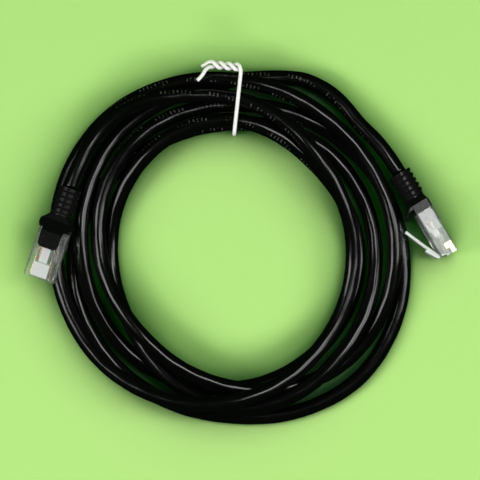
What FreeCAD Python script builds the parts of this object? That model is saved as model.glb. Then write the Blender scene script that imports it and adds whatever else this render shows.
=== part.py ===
import FreeCAD, Part
import math
import os

# Ethernet patch cable, about two metres long, wound into a ring of five turns,
# held by a twist tie, with a clear eight-way modular plug and a ribbed boot on
# each end. Millimetres, +Z up, the ring lies flat on the surface at Z = 0.

os.makedirs("parts", exist_ok=True)
V = FreeCAD.Vector

# Cable
cable_diameter = 5.6
jacket_wall = 0.6
squeezed_diameter = 5.0
flat_depth = 0.5

# Ring of turns, clockwise from the tie. Each row is one turn, and its eight
# values stand at the eighths of a turn: tie, upper right, right, lower right,
# bottom, lower left, left, upper left. The last row is where the coil ends.
coil_center_x = -3.87
coil_center_y = -1.77
turn_radii = [
    [56.4, 46.5, 46.0, 50.0, 58.2, 64.8, 65.9, 67.4],
    [62.8, 60.3, 62.0, 61.5, 52.6, 46.6, 49.4, 53.8],
    [53.5, 57.9, 64.8, 69.8, 63.6, 62.4, 59.0, 48.9],
    [46.2, 51.5, 54.5, 58.0, 61.3, 48.6, 45.1, 46.5],
    [48.0, 43.9, 48.3, 50.8, 53.6, 55.2, 56.0, 60.0],
    [62.0],
]
turn_lifts = [
    [7.2, 14.4, 6.7, 7.2, 15.4, 7.4, 2.7, 3.4],
    [6.2, 6.2, 6.3, 1.3, 7.8, 11.7, 5.9, 6.3],
    [0, 0, 0, 0, 0, 0, 0, 0],
    [0, 0, 1.6, 8.6, 8.9, 4.2, 0, 7.0],
    [6.2, 5.8, 0, 0, 0, 0, 7.3, 3.4],
    [0],
]
stations_per_turn = 8
tie_lift = 2.4
start_drift = -3.0
start_climb = -2.0
end_drift = 9.4

# Modular plug, in its own frame: Y from the nose to the cable, latch side +Z
plug_width = 11.68
plug_height = 6.6
plug_length = 21.46
nose_step = 0.8
nose_step_level = 1.2
contact_pitch = 1.02
contact_count = 8
contact_thickness = 0.35
contact_front = 0.5
contact_back = 4.4
slot_clearance = 0.08
wire_diameter = 0.8
core_diameter = 0.44
wire_level = 0.4
wire_front = 1.4
channel_clearance = 0.05
guide_front = 8.0
guide_length = 2.6
guide_height = 2.2
guide_width = 9.2
jacket_front = 14.4
cavity_width = 9.0
fit = 0.05
clamp_from_back = 6.46
clamp_length = 3.0
clamp_width = 4.6

# Latch
hinge_from_nose = 1.3
hinge_radius = 0.6
latch_a_angle = 16.0
latch_b_angle = 22.0
latch_root_width = 6.2
latch_root_length = 5.2
latch_root_thickness = 1.9
latch_tab_width = 3.25
latch_tab_thickness = 0.95
latch_length = 15.4
latch_travel = 15.0

# Boot
boot_wall = 0.5
collar_cover = 2.3
collar_behind = 1.2
collar_rounding = 0.7
shoulder_length = 4.0
shoulder_chamfer = 0.8
shoulder_taper = 0.85
tail_length = 10.4
tail_diameter = 7.8
rib_diameter = 8.8
rib_width = 1.2
rib_pitch = 2.1
rib_count = 5
flap_length = 6.0
flap_width = 9.0

# Hood of each boot, over the latch: its front edge, its crown above the plug's
# axis and where the crown ends. The right plug's hood is pushed back.
hood_wall = 0.9
hood_front_wall = 0.6
hood_front_width = 5.6
hood_width = 8.3
hood_slope = 1.2
hood_a_front = 11.9
hood_a_crown = 9.6
hood_a_crown_end = 16.9
hood_b_front = 18.5
hood_b_crown = 6.9
hood_b_crown_end = 19.1

# Where the plugs lie: nose from the ring's centre, heading from nose to cable,
# height of the axis and roll about it
plug_a_nose = (-71.9, -11.9)
plug_a_heading = (0.33, 0.944)
plug_a_level = 14.3
plug_a_roll = 4.0
plug_b_nose = (82.0, -2.9)
plug_b_heading = (-0.517, 0.856)
plug_b_level = 7.5
plug_b_roll = 85.0

# Free leads: corner points of each route, from the ring's centre
lead_a_points = [
    (-49.2, 44.2, 13.2),
    (-39.1, 52.0, 13.3),
    (-27.3, 56.4, 14.0),
]
lead_a_first_run = 10.0
lead_a_last_run = 11.0
lead_b_points = [
    (23.7, 64.2, 4.3),
    (33.4, 61.0, 4.6),
    (41.5, 55.2, 5.2),
    (48.0, 46.5, 6.2),
]
lead_b_first_run = 8.0
lead_b_last_run = 11.0

# Twist tie, its loop about the ring and its two twisted ends. A free end is
# given as points from the ring's centre, each with the way it runs there.
tie_wire_diameter = 0.5
tie_diameter = 1.4
tie_clearance = 0.2
tie_outer_x = 4.0
tie_inner_x = 1.4
tie_corner = 1.7
tie_rise = 3.4
twist_way = (-1, 0.1, 0)
twist_pitch = 6.3
twist_quarters = 6
twist_gap = 0.65
free_end_one = [
    ((-12.4, 62.4, 16.4), (0.75, 0.6, -0.2)),
]
free_end_two = [
    ((-10.8, 67.6, 14.6), (-0.8, -0.5, 0.2)),
]


def box(x0, x1, y0, y1, z0, z1):
    return Part.makeBox(x1 - x0, y1 - y0, z1 - z0, V(x0, y0, z0))


def rod(radius, start, end):
    run = end.sub(start)
    return Part.makeCylinder(radius, run.Length, start, run)


def unit(vector):
    return V(vector).normalize()


# Paths and tubes

def arc_edge(start, corner, end):
    """Arc from start to end, tangent to both legs of the corner."""
    chord_middle = (start + end) * 0.5
    half_chord = start.distanceToPoint(end) / 2
    rise = corner.distanceToPoint(chord_middle)
    if rise < 1e-4:
        return Part.LineSegment(start, end).toShape()
    leg = math.hypot(half_chord, rise)
    depth = half_chord * (leg - half_chord) / rise
    middle = chord_middle + (corner - chord_middle) * (depth / rise)
    return Part.Arc(start, middle, end).toShape()


def arc_radius(start, corner, end):
    half_chord = start.distanceToPoint(end) / 2
    rise = corner.distanceToPoint((start + end) * 0.5)
    if rise < 1e-4:
        return float("inf")
    return half_chord * math.hypot(half_chord, rise) / rise


def biarc(start, start_way, end, end_way):
    """Corners and joint of the two arcs that run smoothly between two points."""
    span = end - start
    ways = start_way + end_way
    bend = 2 * (1 - start_way.dot(end_way))
    along = span.dot(ways)
    if bend < 1e-9:
        leg = span.dot(span) / (4 * span.dot(start_way))
    else:
        leg = (math.sqrt(along * along + bend * span.dot(span)) - along) / bend
    first = start + start_way * leg
    second = end - end_way * leg
    return first, (first + second) * 0.5, second


def rounded_path(points, corner_radius=None):
    """Edges and radii of straight runs joined by tangent arcs."""
    edges = []
    radii = []
    place = points[0]
    for before, corner, after in zip(points, points[1:], points[2:]):
        way_in = unit(corner - before)
        way_out = unit(after - corner)
        half_turn = math.acos(max(-1, min(1, way_in.dot(way_out)))) / 2
        shorter = min(corner.distanceToPoint(before), after.distanceToPoint(corner))
        setback = 0.45 * shorter
        if corner_radius:
            setback = min(setback, corner_radius * math.tan(half_turn))
        arc_start = corner - way_in * setback
        arc_end = corner + way_out * setback
        edges.append(Part.LineSegment(place, arc_start).toShape())
        edges.append(arc_edge(arc_start, corner, arc_end))
        radii.append(setback / math.tan(half_turn))
        place = arc_end
    edges.append(Part.LineSegment(place, points[-1]).toShape())
    return edges, radii


def tube(edges, diameter):
    """Round tube along a chain of edges."""
    path = Part.Wire(edges)
    start = edges[0].valueAt(edges[0].FirstParameter)
    way = edges[0].tangentAt(edges[0].FirstParameter)
    section = Part.Wire(Part.makeCircle(diameter / 2, start, way))
    return path.makePipeShell([section], True, False)


def least_gap(edges, diameter, apart, step_length):
    """Least gap of a tube to itself, between places further apart than given."""
    points = []
    walked = []
    distance = 0
    for edge in edges:
        count = max(2, int(edge.Length / step_length))
        for step in range(count):
            part = edge.FirstParameter + (edge.LastParameter - edge.FirstParameter) * step / count
            points.append(edge.valueAt(part))
            walked.append(distance + edge.Length * step / count)
        distance += edge.Length
    least = float("inf")
    for index, point in enumerate(points):
        for other in range(index + 1, len(points)):
            if walked[other] - walked[index] > apart:
                least = min(least, point.distanceToPoint(points[other]))
    return least - diameter


def report_tube(name, shape, edges, radii, diameter):
    length = sum(edge.Length for edge in edges)
    expected = math.pi * diameter ** 2 / 4 * length
    print(name, "length %.1f" % length, "least radius %.1f" % min(radii),
          "volume over section times length %.4f" % (shape.Volume / expected))


# Coil

lowest_axis = cable_diameter / 2 - flat_depth


def coil_stations():
    """Points and directions of the centreline at every eighth of a turn."""
    radii = [value for row in turn_radii for value in row]
    heights = [value for row in turn_lifts for value in row]
    lifts = [value + (0 if index % stations_per_turn else tie_lift) for index, value in enumerate(heights)]
    last = len(radii) - 1
    step = 2 * math.pi / stations_per_turn
    points = []
    ways = []
    for index, radius in enumerate(radii):
        angle = math.pi / 2 - step * index
        outward = V(math.cos(angle), math.sin(angle), 0)
        onward = V(math.sin(angle), -math.cos(angle), 0)
        points.append(V(coil_center_x, coil_center_y, lowest_axis + lifts[index]) + outward * radius)
        if index in (0, last):
            drift = end_drift if index else start_drift
            climb = 0 if index else start_climb
        else:
            drift = (radii[index + 1] - radii[index - 1]) / 2
            climb = (lifts[index + 1] - lifts[index - 1]) / 2 if heights[index] else 0
        ways.append(unit(outward * drift + onward * (radius * step) + V(0, 0, climb)))
    return points, ways


def make_coil():
    points, ways = coil_stations()
    start = points[0] - ways[0] * cable_diameter
    end = points[-1] + ways[-1] * cable_diameter
    edges = [Part.LineSegment(start, points[0]).toShape()]
    radii = []
    for here, way, there, next_way in zip(points, ways, points[1:], ways[1:]):
        first, joint, second = biarc(here, way, there, next_way)
        edges.append(arc_edge(here, first, joint))
        edges.append(arc_edge(joint, second, there))
        radii.append(arc_radius(here, first, joint))
        radii.append(arc_radius(joint, second, there))
    edges.append(Part.LineSegment(points[-1], end).toShape())
    whole = tube(edges, cable_diameter)
    report_tube("coil", whole, edges, radii, cable_diameter)
    print("coil least gap to itself %.2f" % least_gap(edges, cable_diameter, 40, 1.5))
    reach = 2 * max(max(row) for row in turn_radii)
    below = box(coil_center_x - reach, coil_center_x + reach, coil_center_y - reach,
                coil_center_y + reach, -cable_diameter, 0)
    return whole.cut(below), (start, ways[0]), (end, ways[-1])


# Plug

def plug_matrix(nose, heading, level, roll):
    """Placement of the plug's own frame: Y along the heading, rolled about it."""
    back = unit(V(heading[0], heading[1], 0))
    level_left = V(-back.y, back.x, 0)
    turn = math.radians(roll)
    up = V(0, 0, 1) * math.cos(turn) + level_left * math.sin(turn)
    side = back.cross(up)
    origin = V(coil_center_x + nose[0], coil_center_y + nose[1], level)
    return FreeCAD.Matrix(side.x, back.x, up.x, origin.x,
                          side.y, back.y, up.y, origin.y,
                          side.z, back.z, up.z, origin.z,
                          0, 0, 0, 1)


half_width = plug_width / 2
half_height = plug_height / 2
boot_end = plug_length + shoulder_length + tail_length
clamp_front = plug_length - clamp_from_back
guide_back = guide_front + guide_length
wire_columns = [contact_pitch * (n - (contact_count - 1) / 2) for n in range(contact_count)]
gather_scale = 0.45
gather_rise = 0.5


def wire_path(column):
    """Corner points of one wire: straight in its channel, then in to the jacket."""
    place = wire_columns[column]
    rise = gather_rise if column % 2 else -gather_rise
    return [V(place, wire_front, wire_level), V(place, guide_back + 0.2, wire_level),
            V(place * gather_scale, jacket_front, rise), V(place * gather_scale, jacket_front + 1.5, rise)]


def wire_solid(column, diameter):
    points = wire_path(column)
    radius = diameter / 2
    solid = rod(radius, points[0], points[1])
    for start, end in zip(points[1:], points[2:]):
        solid = solid.fuse(Part.makeSphere(radius, start)).fuse(rod(radius, start, end))
    return solid.removeSplitter()


def contact_solid(column):
    """Blade with a rounded front foot and a tooth that reaches the wire's core."""
    place = wire_columns[column] - contact_thickness / 2
    foot = -half_height + 0.35
    shoulder = -half_height + 1.9
    tooth = wire_level - core_diameter / 2
    outline = [(contact_front, shoulder), (contact_front, foot + 0.8), (contact_front + 0.25, foot + 0.3),
               (contact_front + 0.8, foot), (contact_back, foot), (contact_back, tooth - 0.4),
               (contact_back - 0.3, tooth), (contact_back - 0.9, tooth - 0.7),
               (contact_back - 1.5, tooth), (contact_back - 1.9, tooth - 0.5),
               (contact_back - 1.9, shoulder)]
    corners = [V(place, y, z) for y, z in outline]
    face = Part.Face(Part.makePolygon(corners + corners[:1]))
    return face.extrude(V(contact_thickness, 0, 0))


def make_housing():
    body = box(-half_width, half_width, 0, plug_length, -half_height, half_height)
    upright = [edge for edge in body.Edges
               if abs(edge.tangentAt(edge.FirstParameter).y) > 0.9]
    body = body.makeFillet(0.4, upright)
    body = body.cut(box(-half_width, half_width, 0, nose_step, nose_step_level, half_height))
    squeeze = squeezed_diameter / 2 + fit
    body = body.cut(box(-cavity_width / 2, cavity_width / 2, guide_back, plug_length, -squeeze, squeeze))
    body = body.cut(box(-guide_width / 2 - fit, guide_width / 2 + fit, guide_front - fit, guide_back,
                        wire_level - guide_height / 2 - fit, wire_level + guide_height / 2 + fit))
    body = body.cut(box(-clamp_width / 2 - fit, clamp_width / 2 + fit, clamp_front - fit,
                        clamp_front + clamp_length + fit, -half_height, 0))
    slot = contact_thickness / 2 + slot_clearance
    channel = wire_diameter / 2 + channel_clearance
    for place in wire_columns:
        body = body.cut(box(place - slot, place + slot, 0, contact_back + slot_clearance,
                            -half_height, -half_height + 2.0))
        body = body.cut(box(place - slot, place + slot, contact_back - 2.0, contact_back + slot_clearance,
                            -half_height, wire_level))
        body = body.cut(rod(channel, V(place, wire_front - fit, wire_level), V(place, guide_front, wire_level)))
    return body


def make_load_bar():
    bar = box(-guide_width / 2, guide_width / 2, guide_front, guide_back,
              wire_level - guide_height / 2, wire_level + guide_height / 2)
    for place in wire_columns:
        hole = wire_diameter / 2 + channel_clearance
        bar = bar.cut(rod(hole, V(place, guide_front, wire_level), V(place, guide_back, wire_level)))
    return bar


def make_clamp():
    """Wedge in the window of the contact side, with its ramp against the jacket."""
    top = -squeezed_diameter / 2 - fit
    low = -half_height + 0.1
    outline = [(clamp_front, low), (clamp_front + clamp_length, low), (clamp_front + clamp_length, top - 0.3),
               (clamp_front + clamp_length - 0.8, top), (clamp_front + 0.6, top), (clamp_front, top - 0.2)]
    corners = [V(-clamp_width / 2, y, z) for y, z in outline]
    face = Part.Face(Part.makePolygon(corners + corners[:1]))
    return face.extrude(V(clamp_width, 0, 0))


def make_jacket_end():
    inner = squeezed_diameter / 2 - jacket_wall + 0.2
    squeezed = rod(squeezed_diameter / 2, V(0, jacket_front, 0), V(0, plug_length, 0))
    full = rod(cable_diameter / 2, V(0, plug_length, 0), V(0, boot_end, 0))
    bore = rod(inner, V(0, jacket_front, 0), V(0, jacket_front + 1.5, 0))
    return squeezed.fuse(full).cut(bore)


hinge_level = half_height + hinge_radius + fit


def make_latch(open_angle):
    """Hinge barrel, wide root with its locking step, and the narrow tab."""
    barrel = Part.makeCylinder(hinge_radius, latch_root_width, V(-latch_root_width / 2, 0, 0), V(1, 0, 0))
    root = box(-latch_root_width / 2, latch_root_width / 2, 0, latch_root_length,
               -hinge_radius, latch_root_thickness - hinge_radius)
    lead_in = [V(-latch_root_width, -1, hinge_radius), V(-latch_root_width, latch_root_length - 1,
               latch_root_thickness - hinge_radius), V(-latch_root_width, -1, 4)]
    ramp = Part.Face(Part.makePolygon(lead_in + lead_in[:1])).extrude(V(2 * latch_root_width, 0, 0))
    tab = box(-latch_tab_width / 2, latch_tab_width / 2, 0, latch_length,
              -hinge_radius, latch_tab_thickness - hinge_radius)
    latch = barrel.fuse(root.cut(ramp)).fuse(tab).removeSplitter()
    latch.rotate(V(0, 0, 0), V(1, 0, 0), open_angle)
    latch.translate(V(0, hinge_from_nose, hinge_level))
    return latch


def chamfered_section(half_x, half_z, cut, y):
    corners = [V(half_x, y, half_z - cut), V(half_x - cut, y, half_z), V(cut - half_x, y, half_z),
               V(-half_x, y, half_z - cut), V(-half_x, y, cut - half_z), V(cut - half_x, y, -half_z),
               V(half_x - cut, y, -half_z), V(half_x, y, cut - half_z)]
    return Part.makePolygon(corners + corners[:1])


def hood_solid(front, crown, crown_end):
    """Thin arch over the latch's free end, narrowing towards its front edge."""
    collar_top = half_height + boot_wall
    collar_front = plug_length - collar_cover
    back = plug_length + collar_behind
    body_top = half_height + fit
    outline = [(front, crown - hood_wall), (crown_end, crown - hood_wall), (back - 2 * hood_wall, body_top),
               (back, body_top), (back, collar_top), (crown_end + hood_slope, crown),
               (front, crown - hood_wall + hood_front_wall)]
    wide = half_width + boot_wall
    corners = [V(-wide, y, z) for y, z in outline]
    arch = Part.Face(Part.makePolygon(corners + corners[:1])).extrude(V(2 * wide, 0, 0))
    waist = max(collar_front, front + 2 * hood_wall)
    half_plan = [(wide + 1, back + 1), (wide, waist + hood_slope), (hood_width / 2, waist),
                 (hood_width / 2 - 0.3, front + hood_slope), (hood_front_width / 2, front)]
    plan = [(-x, y) for x, y in half_plan] + list(reversed(half_plan))
    outer = [V(x, y, 0) for x, y in plan]
    taper = Part.Face(Part.makePolygon(outer + outer[:1])).extrude(V(0, 0, 2 * plug_width))
    return arch.common(taper)


def make_boot(hood):
    collar_x = half_width + boot_wall
    collar_z = half_height + boot_wall
    collar_front = plug_length - collar_cover
    shoulder_start = plug_length + collar_behind
    collar = box(-collar_x, collar_x, collar_front, shoulder_start, -collar_z, collar_z)
    corners = [edge for edge in collar.Edges if abs(edge.tangentAt(edge.FirstParameter).y) > 0.9]
    collar = collar.makeFillet(collar_rounding, corners)
    shoulder_end = plug_length + shoulder_length
    lip = shoulder_taper * tail_diameter / 2
    shoulder = Part.makeLoft([chamfered_section(collar_x - 0.3, collar_z - 0.2, shoulder_chamfer, shoulder_start),
                              chamfered_section(lip, lip, 0.45 * lip, shoulder_end)],
                             True, True)
    boot = collar.fuse(shoulder)
    boot = boot.fuse(rod(tail_diameter / 2, V(0, shoulder_end - 0.5, 0), V(0, boot_end, 0)))
    for index in range(rib_count):
        back = boot_end - rib_pitch * index
        boot = boot.fuse(rod(rib_diameter / 2, V(0, back - rib_width, 0), V(0, back, 0)))
    flap_top = -half_height - fit
    boot = boot.fuse(box(-flap_width / 2, flap_width / 2, collar_front - flap_length, collar_front + 0.5,
                         flap_top - boot_wall + fit, flap_top))
    boot = boot.fuse(hood)
    pocket = box(-half_width - fit, half_width + fit, 0, plug_length + fit, -half_height - fit, half_height + fit)
    boot = boot.cut(pocket)
    return boot.cut(rod(cable_diameter / 2 + fit, V(0, plug_length - 1, 0), V(0, boot_end + 1, 0)))


def plug_pieces():
    """The pieces that both plugs share, in the plug's own frame, by name."""
    cores = [wire_solid(n, core_diameter) for n in range(contact_count)]
    contacts = [contact_solid(n) for n in range(contact_count)]
    jacket_end = make_jacket_end()
    pieces = {
        "housing": make_housing(),
        "load_bar": make_load_bar(),
        "jacket_clamp": make_clamp(),
        "jacket_end": jacket_end,
        "cores": Part.makeCompound(cores),
    }
    for n in range(contact_count):
        insulation = wire_solid(n, wire_diameter).cut(cores[n]).cut(contacts[n])
        pieces["wire_%d" % (n + 1)] = insulation
        pieces["contact_%d" % (n + 1)] = contacts[n]
    return pieces


def lead_path(start, start_way, first_run, corners, last_run, end, end_way):
    center = V(coil_center_x, coil_center_y, 0)
    points = [start, start + start_way * first_run]
    points += [center + V(*corner) for corner in corners]
    points += [end - end_way * last_run, end]
    return rounded_path(points)


# Twist tie

def twisted_end(axis_start, axis_way, phase):
    """Quarter-turn stations of one end of the tie where the two ends are twisted."""
    across = unit(axis_way.cross(V(0, 0, 1)))
    downward = V(0, 0, -1)
    radius = (tie_diameter + twist_gap) / 2
    stations = []
    for quarter in range(twist_quarters + 1):
        angle = math.radians(phase + 90 * quarter)
        outward = across * math.cos(angle) + downward * math.sin(angle)
        turning = downward * math.cos(angle) - across * math.sin(angle)
        point = axis_start + axis_way * (twist_pitch * quarter / 4) + outward * radius
        stations.append((point, unit(axis_way * (twist_pitch / (2 * math.pi)) + turning * radius)))
    return stations


def make_tie(coil_top, outer_reach, inner_reach):
    center = V(coil_center_x, coil_center_y, 0)
    half = tie_diameter / 2
    top = coil_top + half + tie_clearance
    outer = outer_reach + half + tie_clearance
    inner = inner_reach - half - tie_clearance
    bottom = half + tie_clearance / 2
    twist_level = top - (tie_diameter + twist_gap) / 2
    axis_start = center + V(tie_outer_x - tie_corner, outer + (tie_diameter + twist_gap) / 2, twist_level)
    axis_way = unit(V(*twist_way))
    over = twisted_end(axis_start, axis_way, 0)
    under = twisted_end(axis_start, axis_way, 180)
    inward = unit(V(tie_inner_x - tie_outer_x, inner - outer, 0))
    near = center + V(tie_outer_x, outer, 0)
    far = center + V(tie_inner_x, inner, 0)
    up = V(0, 0, 1)
    stations = [(center + V(*point), unit(V(*way))) for point, way in free_end_one]
    stations += [(point, way * -1) for point, way in reversed(over)]
    stations += [
        (near + inward * tie_corner + up * top, inward),
        (far - inward * tie_corner + up * top, inward),
        (far + up * (top - tie_corner), up * -1),
        (far + up * (bottom + tie_corner), up * -1),
        (far - inward * tie_corner + up * bottom, inward * -1),
        (near + inward * tie_corner + up * bottom, inward * -1),
        (near + up * (bottom + tie_corner), up),
        (near + up * (twist_level - tie_rise), up),
    ]
    stations += under
    stations += [(center + V(*point), unit(V(*way))) for point, way in free_end_two]
    edges = []
    radii = []
    for (here, way), (there, next_way) in zip(stations, stations[1:]):
        first, joint, second = biarc(here, way, there, next_way)
        edges.append(arc_edge(here, first, joint))
        edges.append(arc_edge(joint, second, there))
        radii.append(arc_radius(here, first, joint))
        radii.append(arc_radius(joint, second, there))
    coating = tube(edges, tie_diameter)
    wire = tube(edges, tie_wire_diameter)
    report_tube("tie", coating, edges, radii, tie_diameter)
    print("tie least gap to itself %.2f" % least_gap(edges, tie_diameter, 5, 0.3))
    return coating.cut(wire), wire


def main():
    nodes = {}
    coil, coil_start, coil_end = make_coil()
    nodes["cable_coil"] = coil
    shared = plug_pieces()
    own = {
        "a": {"latch": make_latch(latch_a_angle),
              "boot": make_boot(hood_solid(hood_a_front, hood_a_crown, hood_a_crown_end))},
        "b": {"latch": make_latch(latch_b_angle),
              "boot": make_boot(hood_solid(hood_b_front, hood_b_crown, hood_b_crown_end))},
    }
    places = {
        "a": plug_matrix(plug_a_nose, plug_a_heading, plug_a_level, plug_a_roll),
        "b": plug_matrix(plug_b_nose, plug_b_heading, plug_b_level, plug_b_roll),
    }
    for letter, place in places.items():
        for name, shape in list(shared.items()) + list(own[letter].items()):
            nodes["plug_%s_%s" % (letter, name)] = shape.transformed(place)
        hinge = place.multVec(V(0, hinge_from_nose, hinge_level))
        axis = place.multVec(V(-1, 0, 0)) - place.multVec(V(0, 0, 0))
        print("hinge", letter, "at (%.3f, %.3f, %.3f)" % tuple(hinge),
              "axis (%.5f, %.5f, %.5f)" % tuple(axis), "travel", latch_travel)
        nose = place.multVec(V(0, 0, 0))
        nose_way = place.multVec(V(0, -1, 0)) - nose
        side_way = place.multVec(V(1, 0, 0)) - nose
        print("nose", letter, "at (%.3f, %.3f, %.3f)" % tuple(nose),
              "way (%.5f, %.5f, %.5f)" % tuple(nose_way), "side (%.5f, %.5f, %.5f)" % tuple(side_way))
    boot_a = places["a"].multVec(V(0, boot_end, 0))
    way_a = places["a"].multVec(V(0, boot_end + 1, 0)) - boot_a
    edges, radii = lead_path(boot_a, way_a, lead_a_first_run, lead_a_points, lead_a_last_run,
                             coil_start[0], coil_start[1])
    nodes["cable_lead_a"] = tube(edges, cable_diameter)
    report_tube("lead a", nodes["cable_lead_a"], edges, radii, cable_diameter)
    boot_b = places["b"].multVec(V(0, boot_end, 0))
    way_b = places["b"].multVec(V(0, boot_end - 1, 0)) - boot_b
    edges, radii = lead_path(coil_end[0], coil_end[1], lead_b_first_run, lead_b_points, lead_b_last_run,
                             boot_b, way_b)
    nodes["cable_lead_b"] = tube(edges, cable_diameter)
    report_tube("lead b", nodes["cable_lead_b"], edges, radii, cable_diameter)
    half = cable_diameter / 2
    coil_top = lowest_axis + tie_lift + turn_lifts[0][0] + half
    coating, wire = make_tie(coil_top, turn_radii[1][0] + half, turn_radii[3][0] - half)
    nodes["twist_tie_coating"] = coating
    nodes["twist_tie_wire"] = wire
    whole = Part.makeCompound(list(nodes.values()))
    bounds = whole.optimalBoundingBox()
    print("box from (%.2f, %.2f, %.2f)" % (bounds.XMin, bounds.YMin, bounds.ZMin),
          "to (%.2f, %.2f, %.2f)" % (bounds.XMax, bounds.YMax, bounds.ZMax),
          "centre (%.3f, %.3f)" % (bounds.Center.x, bounds.Center.y))
    for name, shape in nodes.items():
        if not shape.isValid():
            print("not valid", name)
        shape.exportStep("parts/%s.step" % name)
    print(len(nodes), "nodes")


main()
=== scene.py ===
import math

import bpy
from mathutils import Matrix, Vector


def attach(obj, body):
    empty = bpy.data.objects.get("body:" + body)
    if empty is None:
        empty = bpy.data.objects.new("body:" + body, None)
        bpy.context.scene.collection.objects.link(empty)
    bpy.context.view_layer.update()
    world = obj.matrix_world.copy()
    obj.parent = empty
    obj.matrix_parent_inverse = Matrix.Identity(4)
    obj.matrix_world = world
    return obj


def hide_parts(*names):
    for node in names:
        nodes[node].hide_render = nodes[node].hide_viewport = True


# A black ethernet patch cable in a tied ring, seen from straight above on a
# plain pale green floor. Lengths are in metres, apart from the sizes that repeat
# the part's source, which are in millimetres.

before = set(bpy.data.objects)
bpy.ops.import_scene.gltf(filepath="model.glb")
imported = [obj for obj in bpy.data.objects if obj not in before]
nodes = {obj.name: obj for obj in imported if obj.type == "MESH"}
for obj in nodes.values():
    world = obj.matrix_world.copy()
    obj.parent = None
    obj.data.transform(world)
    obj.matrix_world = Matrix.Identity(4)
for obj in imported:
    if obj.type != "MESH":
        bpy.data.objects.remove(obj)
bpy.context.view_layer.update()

MM = 0.001

# The ring, as in the part's source: clockwise from the tie, a row for each turn
# and eight stations to a turn, with the radius and lift of the cord's axis.
CABLE_DIAMETER = 5.6
COIL_CENTER = (-3.87, -1.77)
LOWEST_AXIS = 2.3
TIE_LIFT = 2.4
STATIONS = 8
TURN_RADII = [
    [56.4, 46.5, 46.0, 50.0, 58.2, 64.8, 65.9, 67.4],
    [62.8, 60.3, 62.0, 61.5, 52.6, 46.6, 49.4, 53.8],
    [53.5, 57.9, 64.8, 69.8, 63.6, 62.4, 59.0, 48.9],
    [46.2, 51.5, 54.5, 58.0, 61.3, 48.6, 45.1, 46.5],
    [48.0, 43.9, 48.3, 50.8, 53.6, 55.2, 56.0, 60.0],
    [62.0],
]
TURN_LIFTS = [
    [7.2, 14.4, 6.7, 7.2, 15.4, 7.4, 2.7, 3.4],
    [6.2, 6.2, 6.3, 1.3, 7.8, 11.7, 5.9, 6.3],
    [0, 0, 0, 0, 0, 0, 0, 0],
    [0, 0, 1.6, 8.6, 8.9, 4.2, 0, 7.0],
    [6.2, 5.8, 0, 0, 0, 0, 7.3, 3.4],
    [0],
]
START_DRIFT = -3.0
START_CLIMB = -2.0
END_DRIFT = 9.4

# Plugs and leads, as in the part's source, from the ring's centre. A heading
# runs from the nose to the cord, and a level is the height of the plug's axis.
PLUGS = {
    "a": {"nose": (-71.9, -11.9), "heading": (0.33, 0.944), "level": 14.3},
    "b": {"nose": (82.0, -2.9), "heading": (-0.517, 0.856), "level": 7.5},
}
BOOT_END = 35.86
TAIL_START = 25.5
GROOVE_RADIUS = 4.0
RIB_RADIUS = 4.35
LEAD_A_POINTS = [(-49.2, 44.2, 13.2), (-39.1, 52.0, 13.3), (-27.3, 56.4, 14.0)]
LEAD_B_POINTS = [(23.7, 64.2, 4.3), (33.4, 61.0, 4.6), (41.5, 55.2, 5.2), (48.0, 46.5, 6.2)]
LEAD_A_FIRST_RUN = 10.0
LEAD_B_LAST_RUN = 11.0


def at_center(x, y, z):
    """A place in metres from millimetres off the ring's centre."""
    return Vector((x + COIL_CENTER[0], y + COIL_CENTER[1], z)) * MM


def plug_way(letter):
    """The way from a plug's nose to the cord."""
    x, y = PLUGS[letter]["heading"]
    return Vector((x, y, 0)).normalized()


def on_plug_axis(letter, distance):
    """The place on a plug's axis at a distance in millimetres from its nose."""
    x, y = PLUGS[letter]["nose"]
    way = plug_way(letter)
    return at_center(x + way.x * distance, y + way.y * distance, PLUGS[letter]["level"])


# Centreline of the cord

POINTS_PER_STATION = 2
LINE_RESOLUTION = 12
LINE_STEP = 0.0012


def coil_points():
    """Control points of the coil: its stations and the points halfway between."""
    radii = [value for turn in TURN_RADII for value in turn]
    heights = [value for turn in TURN_LIFTS for value in turn]
    lifts = [value + (0 if index % STATIONS else TIE_LIFT) for index, value in enumerate(heights)]
    last = len(radii) - 1

    def slopes(index):
        if index == 0:
            return START_DRIFT, START_CLIMB
        if index == last:
            return END_DRIFT, 0.0
        climb = (lifts[index + 1] - lifts[index - 1]) / 2 if heights[index] else 0.0
        return (radii[index + 1] - radii[index - 1]) / 2, climb

    def blend(first, second, first_slope, second_slope, part):
        square = part * part
        cube = square * part
        return (first * (2 * cube - 3 * square + 1) + first_slope * (cube - 2 * square + part)
                + second * (3 * square - 2 * cube) + second_slope * (cube - square))

    # A spline of order 3 runs inside control points on a circle by this ratio,
    # so the control points stand outside the radii of the tables by as much.
    step = 2 * math.pi / STATIONS
    inset = (3 + math.cos(step / POINTS_PER_STATION)) / 4
    points = []
    for index in range(last):
        drift, climb = slopes(index)
        next_drift, next_climb = slopes(index + 1)
        for part in range(POINTS_PER_STATION):
            share = part / POINTS_PER_STATION
            radius = blend(radii[index], radii[index + 1], drift, next_drift, share) / inset
            lift = blend(lifts[index], lifts[index + 1], climb, next_climb, share)
            angle = math.pi / 2 - step * (index + share)
            points.append(at_center(radius * math.cos(angle), radius * math.sin(angle),
                                    LOWEST_AXIS + lift))
    points.append(at_center(0, radii[last] / inset, LOWEST_AXIS + lifts[last]))
    return points


def cord_points():
    """Control points from the left boot round the ring to the right boot."""
    points = [on_plug_axis("a", BOOT_END), on_plug_axis("a", BOOT_END + LEAD_A_FIRST_RUN)]
    points += [at_center(*point) for point in LEAD_A_POINTS]
    points += coil_points()
    points += [at_center(*point) for point in LEAD_B_POINTS]
    points += [on_plug_axis("b", BOOT_END + LEAD_B_LAST_RUN), on_plug_axis("b", BOOT_END)]
    return points


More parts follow.
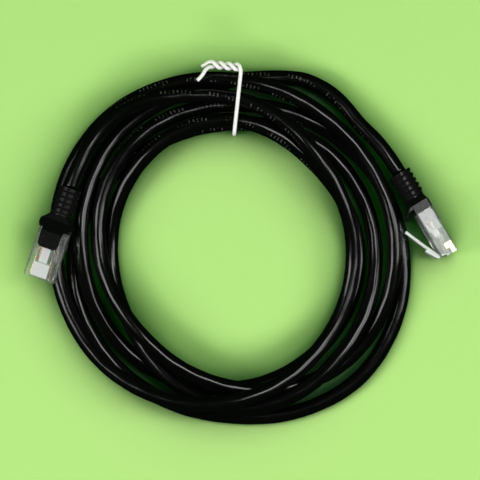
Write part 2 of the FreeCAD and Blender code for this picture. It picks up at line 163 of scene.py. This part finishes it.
def line_points(points):
    """Points read from the NURBS spline that has the given control points."""
    curve = bpy.data.curves.new("route", "CURVE")
    curve.dimensions = "3D"
    curve.resolution_u = LINE_RESOLUTION
    spline = curve.splines.new("NURBS")
    spline.points.add(len(points) - 1)
    for control, point in zip(spline.points, points):
        control.co = (*point, 1)
    spline.order_u = 3
    spline.use_endpoint_u = True
    holder = bpy.data.objects.new("route", curve)
    bpy.context.scene.collection.objects.link(holder)
    bpy.context.view_layer.update()
    mesh = bpy.data.meshes.new_from_object(holder)
    read = [vertex.co.copy() for vertex in mesh.vertices]
    bpy.data.objects.remove(holder)
    bpy.data.meshes.remove(mesh)
    return read


def even_points(points, step):
    """The same line, with its points an even step apart."""
    walked = [0.0]
    for here, there in zip(points, points[1:]):
        walked.append(walked[-1] + (there - here).length)
    count = int(round(walked[-1] / step))
    result = []
    index = 0
    for number in range(count + 1):
        target = walked[-1] * number / count
        while index < len(points) - 2 and walked[index + 1] < target:
            index += 1
        span = walked[index + 1] - walked[index]
        share = (target - walked[index]) / span if span else 0.0
        result.append(points[index].lerp(points[index + 1], share))
    return result


# Jacket of the cord

TUBE_SIDES = 28
PAIR_LAY = 0.034
PAIR_TWIST = 0.0115
LAY_SWELL = 0.045
TWIST_SWELL = 0.03


def jacket_radius(distance, angle):
    """Round jacket that shows the twisted pairs beneath it a little."""
    lay = 2 * math.pi * distance / PAIR_LAY
    twist = 2 * math.pi * distance / PAIR_TWIST
    swell = LAY_SWELL * math.sin(2 * angle - lay) + TWIST_SWELL * math.sin(3 * angle + twist)
    return (CABLE_DIAMETER / 2 + swell) * MM


def tube_mesh(name, line, radius_at, sides):
    """Mesh tube on a line, with U along it in metres and V round it from 0 to 1."""
    vertices = []
    faces = []
    coordinates = []
    distance = 0.0
    count = len(line)
    for number, point in enumerate(line):
        before = line[max(0, number - 1)]
        after = line[min(count - 1, number + 1)]
        way = (after - before).normalized()
        side = way.cross(Vector((0, 0, 1))).normalized()
        upward = side.cross(way)
        if number:
            distance += (point - line[number - 1]).length
        for corner in range(sides):
            angle = 2 * math.pi * corner / sides
            radius = radius_at(distance, angle)
            place = point + side * (radius * math.cos(angle)) + upward * (radius * math.sin(angle))
            vertices.append((place.x, place.y, max(place.z, 0.0)))
        coordinates.append(distance)
    for number in range(count - 1):
        for corner in range(sides):
            after = (corner + 1) % sides
            base = number * sides
            faces.append((base + corner, base + after, base + sides + after, base + sides + corner))
    first_cap = tuple(reversed(range(sides)))
    last_cap = tuple((count - 1) * sides + corner for corner in range(sides))
    mesh = bpy.data.meshes.new(name)
    mesh.from_pydata(vertices, [], faces + [first_cap, last_cap])
    layer = mesh.uv_layers.new(name="UVMap")
    loop = 0
    for number in range(count - 1):
        for corner in range(sides):
            for ring, turn in ((0, 0), (0, 1), (1, 1), (1, 0)):
                layer.data[loop].uv = (coordinates[number + ring], (corner + turn) / sides)
                loop += 1
    for polygon in mesh.polygons:
        polygon.use_smooth = len(polygon.vertices) == 4
    mesh.update()
    return mesh


# Nodes that the materials share

NOISE_LOW = 0.3
NOISE_HIGH = 0.7
BUMP_DEPTH = 0.0001


def coordinate(tree, kind):
    """Texture coordinates of one kind, such as Object or UV."""
    return tree.nodes.new("ShaderNodeTexCoord").outputs[kind]


def noise(tree, scale, detail=4):
    """Noise in the object's own coordinates."""
    node = tree.nodes.new("ShaderNodeTexNoise")
    node.inputs["Scale"].default_value = scale
    node.inputs["Detail"].default_value = detail
    tree.links.new(coordinate(tree, "Object"), node.inputs["Vector"])
    return node.outputs["Fac"]


def stretched(tree, value, low, high, new_low=0.0, new_high=1.0):
    """A value stretched from one range to another and kept inside it."""
    node = tree.nodes.new("ShaderNodeMapRange")
    node.inputs["From Min"].default_value = low
    node.inputs["From Max"].default_value = high
    node.inputs["To Min"].default_value = new_low
    node.inputs["To Max"].default_value = new_high
    tree.links.new(value, node.inputs["Value"])
    return node.outputs["Result"]


def computed(tree, operation, first, second=0.0):
    """One step of arithmetic on two values, each a number or an output."""
    node = tree.nodes.new("ShaderNodeMath")
    node.operation = operation
    for socket, value in zip(node.inputs, (first, second)):
        if isinstance(value, float):
            socket.default_value = value
        else:
            tree.links.new(value, socket)
    return node.outputs["Value"]


def vector_computed(tree, operation, vector, constant, kind="Vector"):
    """One step of arithmetic on a vector and a constant one."""
    node = tree.nodes.new("ShaderNodeVectorMath")
    node.operation = operation
    tree.links.new(vector, node.inputs[0])
    node.inputs[1].default_value = constant
    return node.outputs[kind]


def color_mix(tree, factor, first, second):
    """A blend of two colours."""
    node = tree.nodes.new("ShaderNodeMix")
    node.data_type = "RGBA"
    node.inputs["A"].default_value = (*first, 1)
    node.inputs["B"].default_value = (*second, 1)
    tree.links.new(factor, node.inputs["Factor"])
    return node.outputs["Result"]


def material(name, color, **sockets):
    """A material with a plain colour and the given values on its shader."""
    made = bpy.data.materials.new(name)
    made.use_nodes = True
    shader = made.node_tree.nodes["Principled BSDF"]
    shader.inputs["Base Color"].default_value = (*color, 1)
    for socket, value in sockets.items():
        shader.inputs[socket.replace("_", " ")].default_value = value
    return made


def set_skin(made, bumps, wear, strength, roughness):
    """Bump from one noise, and roughness that wanders in a range with another."""
    tree = made.node_tree
    shader = tree.nodes["Principled BSDF"]
    low, high = roughness
    shader.inputs["Roughness"].default_value = (low + high) / 2
    tree.links.new(stretched(tree, wear, NOISE_LOW, NOISE_HIGH, low, high), shader.inputs["Roughness"])
    bump = tree.nodes.new("ShaderNodeBump")
    bump.inputs["Strength"].default_value = strength
    bump.inputs["Distance"].default_value = BUMP_DEPTH
    tree.links.new(bumps, bump.inputs["Height"])
    tree.links.new(bump.outputs["Normal"], shader.inputs["Normal"])


def moulded(name, color, scale, strength, roughness, **sockets):
    """Fine moulded texture: bump and uneven roughness from one noise."""
    made = material(name, color, **sockets)
    grain = noise(made.node_tree, scale)
    set_skin(made, grain, grain, strength, roughness)
    return made


# Black PVC of the jacket, with a row of faint worn ticks in groups where the
# photo has print. The row winds slowly round the cord: it is on top at
# PRINT_START along it, and the phase adds the quarter turn that this takes to
# ten whole ones, so that the sum stays above zero.

JACKET_COLOR = (0.0015, 0.0015, 0.0015)
INK_COLOR = (0.06, 0.06, 0.06)
PRINT_START = 1.86
PRINT_TURNS_PER_METRE = 5.6
PRINT_PHASE = 10.25
PRINT_HALF_WIDTH = 0.042
TICK_PITCH = 0.0015
TICK_SHARE = 0.34
GROUP_PITCH = 0.017
GROUP_SHARE = 0.7
WORN_LEVEL = 0.5
PRINT_ABOVE_Y = 0.015


def jacket_material():
    """Glossy black PVC with a fine uneven skin and the row of ticks."""
    made = material("jacket_pvc", JACKET_COLOR)
    tree = made.node_tree
    fine = noise(tree, 900)
    coarse = noise(tree, 70, 3)
    set_skin(made, fine, coarse, 0.06, (0.15, 0.22))

    unwrapped = tree.nodes.new("ShaderNodeSeparateXYZ")
    tree.links.new(coordinate(tree, "UV"), unwrapped.inputs["Vector"])
    along = unwrapped.outputs["X"]
    around = unwrapped.outputs["Y"]
    place = tree.nodes.new("ShaderNodeSeparateXYZ")
    tree.links.new(coordinate(tree, "Object"), place.inputs["Vector"])

    def repeated(pitch, share):
        """One along the first share of each pitch, and zero along the rest."""
        cycle = computed(tree, "FRACT", computed(tree, "DIVIDE", along, pitch))
        return computed(tree, "LESS_THAN", cycle, share)

    past_start = computed(tree, "SUBTRACT", along, PRINT_START)
    wound = computed(tree, "ADD", around, computed(tree, "MULTIPLY", past_start, PRINT_TURNS_PER_METRE))
    turn = computed(tree, "FRACT", computed(tree, "ADD", wound, PRINT_PHASE))
    off_row = computed(tree, "ABSOLUTE", computed(tree, "SUBTRACT", turn, 0.5))
    ink = computed(tree, "LESS_THAN", off_row, PRINT_HALF_WIDTH)
    for mask in (repeated(TICK_PITCH, TICK_SHARE),
                 repeated(GROUP_PITCH, GROUP_SHARE),
                 computed(tree, "GREATER_THAN", fine, WORN_LEVEL),
                 computed(tree, "GREATER_THAN", place.outputs["Y"], PRINT_ABOVE_Y)):
        ink = computed(tree, "MULTIPLY", ink, mask)
    shader = tree.nodes["Principled BSDF"]
    tree.links.new(color_mix(tree, ink, JACKET_COLOR, INK_COLOR), shader.inputs["Base Color"])
    return made


BOOT_COLOR = (0.004, 0.004, 0.004)
TAIL_FADE = 0.2
GROOVE_ROUGHNESS = 1.0


def boot_material(letter):
    """Satin black PVC, glossy on the ribs of the tail and dull in the grooves between them."""
    made = moulded("boot_pvc_%s" % letter, BOOT_COLOR, 1500, 0.1, (0.2, 0.3),
                   Specular_IOR_Level=0.24)
    tree = made.node_tree
    roughness = tree.nodes["Principled BSDF"].inputs["Roughness"]
    way = plug_way(letter)
    arm = vector_computed(tree, "SUBTRACT", coordinate(tree, "Object"), on_plug_axis(letter, 0))
    along = vector_computed(tree, "DOT_PRODUCT", arm, way, "Value")
    across = vector_computed(tree, "CROSS_PRODUCT", arm, way)
    off_axis = vector_computed(tree, "LENGTH", across, (0, 0, 0), "Value")
    tail = stretched(tree, along, TAIL_START * MM, (TAIL_START + TAIL_FADE) * MM)
    height = stretched(tree, off_axis, GROOVE_RADIUS * MM, RIB_RADIUS * MM)
    groove = computed(tree, "MULTIPLY", computed(tree, "SUBTRACT", 1.0, height), tail)
    dull = tree.nodes.new("ShaderNodeMix")
    tree.links.new(groove, dull.inputs["Factor"])
    tree.links.new(roughness.links[0].from_socket, dull.inputs["A"])
    dull.inputs["B"].default_value = GROOVE_ROUGHNESS
    tree.links.new(dull.outputs["Result"], roughness)
    return made


# Materials, each with its name, colour, noise scale, bump strength and roughness

jacket = jacket_material()
clear = moulded("clear_polycarbonate", (0.97, 0.98, 0.98), 300, 0.2, (0.03, 0.08),
                Transmission_Weight=0.92, IOR=1.45)
milky = moulded("milky_polycarbonate", (0.96, 0.95, 0.97), 250, 0.3, (0.06, 0.16),
                Transmission_Weight=0.6, IOR=1.45)
gold = moulded("gold_contact", (0.9, 0.62, 0.22), 3000, 0.1, (0.18, 0.32), Metallic=1.0)
copper = moulded("bare_copper", (0.8, 0.38, 0.2), 3000, 0.1, (0.22, 0.38), Metallic=1.0)
tie_plastic = moulded("tie_plastic", (0.95, 0.88, 0.93), 1800, 0.15, (0.32, 0.48))
tie_steel = moulded("tie_steel", (0.55, 0.55, 0.56), 2500, 0.1, (0.28, 0.42), Metallic=1.0)

# Insulation of the eight wires, by their place in the plug
WIRE_COLORS = {
    1: (0.85, 0.62, 0.42),
    2: (0.85, 0.28, 0.03),
    3: (0.55, 0.8, 0.58),
    4: (0.03, 0.1, 0.5),
    5: (0.55, 0.65, 0.85),
    6: (0.02, 0.32, 0.1),
    7: (0.65, 0.5, 0.4),
    8: (0.16, 0.06, 0.025),
}
insulation = {number: moulded("wire_%d" % number, color, 2000, 0.1, (0.28, 0.42))
              for number, color in WIRE_COLORS.items()}


def dress(node, made):
    """Gives a CAD node its material."""
    mesh = nodes[node].data
    mesh.materials.clear()
    mesh.materials.append(made)


for letter in PLUGS:
    plug_materials = {"housing": clear, "latch": milky, "load_bar": clear, "jacket_clamp": clear,
                      "boot": boot_material(letter), "jacket_end": jacket, "cores": copper}
    for number in WIRE_COLORS:
        plug_materials["wire_%d" % number] = insulation[number]
        plug_materials["contact_%d" % number] = gold
    for piece, made in plug_materials.items():
        dress("plug_%s_%s" % (letter, piece), made)
dress("twist_tie_coating", tie_plastic)
dress("twist_tie_wire", tie_steel)

# Small rounded edges on the moulded pieces, in millimetres

EDGE_WIDTHS = {"boot": 0.3, "latch": 0.15, "housing": 0.08}
EDGE_SEGMENTS = 3
EDGE_ANGLE = 35

for letter in PLUGS:
    for piece, width in EDGE_WIDTHS.items():
        edges = nodes["plug_%s_%s" % (letter, piece)].modifiers.new("soft_edges", "BEVEL")
        edges.width = width * MM
        edges.segments = EDGE_SEGMENTS
        edges.limit_method = "ANGLE"
        edges.angle_limit = math.radians(EDGE_ANGLE)

# The cord from boot to boot

route = cord_points()
line = even_points(line_points(route), LINE_STEP)
cord_mesh = tube_mesh("cord", line, jacket_radius, TUBE_SIDES)
cord_mesh.materials.append(jacket)
cord = bpy.data.objects.new("cord", cord_mesh)
bpy.context.scene.collection.objects.link(cord)
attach(cord, "cable")
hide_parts("cable_coil", "cable_lead_a", "cable_lead_b")

# Floor, with painted shade near the ring: its colour deepens to the second colour there

FLOOR_COLOR = (0.42, 0.69, 0.2)
PAINTED_SHADE_COLOR = (0.003, 0.08, 0.001)
FLOOR_SIZE = 6.0
FLOOR_LEVEL = -0.0001
SHADE_REACH = 0.025
SHADE_SAMPLES = 16
SHADE_FULL = 0.4
SHADE_NONE = 0.85

bpy.ops.mesh.primitive_plane_add(size=FLOOR_SIZE, location=(0, 0, FLOOR_LEVEL))
floor = bpy.context.object
floor.name = "floor"
paper = moulded("floor", FLOOR_COLOR, 300, 0.05, (0.6, 0.75))
paper_tree = paper.node_tree
nearness = paper_tree.nodes.new("ShaderNodeAmbientOcclusion")
nearness.samples = SHADE_SAMPLES
nearness.inputs["Distance"].default_value = SHADE_REACH
open_sky = stretched(paper_tree, nearness.outputs["AO"], SHADE_FULL, SHADE_NONE)
paper_tree.links.new(color_mix(paper_tree, open_sky, PAINTED_SHADE_COLOR, FLOOR_COLOR),
                     paper_tree.nodes["Principled BSDF"].inputs["Base Color"])
floor.data.materials.append(paper)
floor.visible_glossy = False

# Lights. Most are left out of reflections, so that the cord keeps dark flanks,
# and the two cards are only in reflections, as highlights along the strands.

WORLD_COLOR = (0.2, 1, 0.08)
WORLD_STRENGTH = 0.012
SIDE_TINT = (1, 0.95, 1)
DOME_TINT = (0.55, 1, 0.4)
RING = (0, 0, 0)

world = bpy.data.worlds.new("studio")
bpy.context.scene.world = world
world.use_nodes = True
background = world.node_tree.nodes["Background"]
background.inputs["Color"].default_value = (*WORLD_COLOR, 1)
background.inputs["Strength"].default_value = WORLD_STRENGTH


def softbox(name, place, aim, size, energy, color=(1, 1, 1), glossy=True, diffuse=True):
    """A rectangular area light that shines from a place towards another."""
    data = bpy.data.lights.new(name, "AREA")
    data.shape = "RECTANGLE"
    data.size, data.size_y = size
    data.energy = energy
    data.color = color
    light = bpy.data.objects.new(name, data)
    light.location = place
    light.rotation_euler = (Vector(aim) - Vector(place)).to_track_quat("-Z", "Y").to_euler()
    light.visible_glossy = glossy
    light.visible_diffuse = diffuse
    bpy.context.scene.collection.objects.link(light)


softbox("overhead", (0.235, 0.11, 0.78), (0.08, 0, 0), (0.22, 0.22), 1.05)
softbox("key", (-0.8, -0.2, 0.62), RING, (0.3, 0.45), 5.4, SIDE_TINT, glossy=False)
softbox("fill", (0.85, 0.0, 0.62), RING, (0.3, 0.45), 4.6, SIDE_TINT, glossy=False)
softbox("front", (0.0, -0.62, 0.62), RING, (0.5, 0.25), 3.2, SIDE_TINT, glossy=False)
softbox("dome", (0.0, 0.95, 1.1), RING, (2.4, 1.6), 10.9, DOME_TINT, glossy=False)
softbox("left card", (-0.66, 0.0, 0.7), RING, (0.34, 0.5), 2.6, diffuse=False)
softbox("right card", (0.66, 0.0, 0.7), RING, (0.34, 0.5), 2.2, diffuse=False)

# Camera, straight above. The photo's scale holds at SCALE_LEVEL above the floor,
# in millimetres, and the ring's centre is at its pixel in the photo.

PHOTO_SIZE = 480
MM_PER_PIXEL = 0.377
SCALE_LEVEL = 4.0
CAMERA_HEIGHT = 1.6
SENSOR_WIDTH = 36.0
CLIP_START = 0.01
VIEW_CENTER_PX = (240.0, 240.0)
COIL_CENTER_PX = (230.5, 247.0)

camera_data = bpy.data.cameras.new("camera")
camera_data.sensor_width = SENSOR_WIDTH
camera_data.lens = SENSOR_WIDTH * CAMERA_HEIGHT / (PHOTO_SIZE * MM_PER_PIXEL * MM)
camera_data.clip_start = CLIP_START
camera = bpy.data.objects.new("camera", camera_data)
camera.location = at_center((VIEW_CENTER_PX[0] - COIL_CENTER_PX[0]) * MM_PER_PIXEL,
                            (COIL_CENTER_PX[1] - VIEW_CENTER_PX[1]) * MM_PER_PIXEL,
                            CAMERA_HEIGHT / MM + SCALE_LEVEL)
camera.rotation_euler = (0, 0, 0)
bpy.context.scene.collection.objects.link(camera)
bpy.context.scene.camera = camera
bpy.context.scene.view_settings.view_transform = "Standard"

bpy.context.view_layer.update()
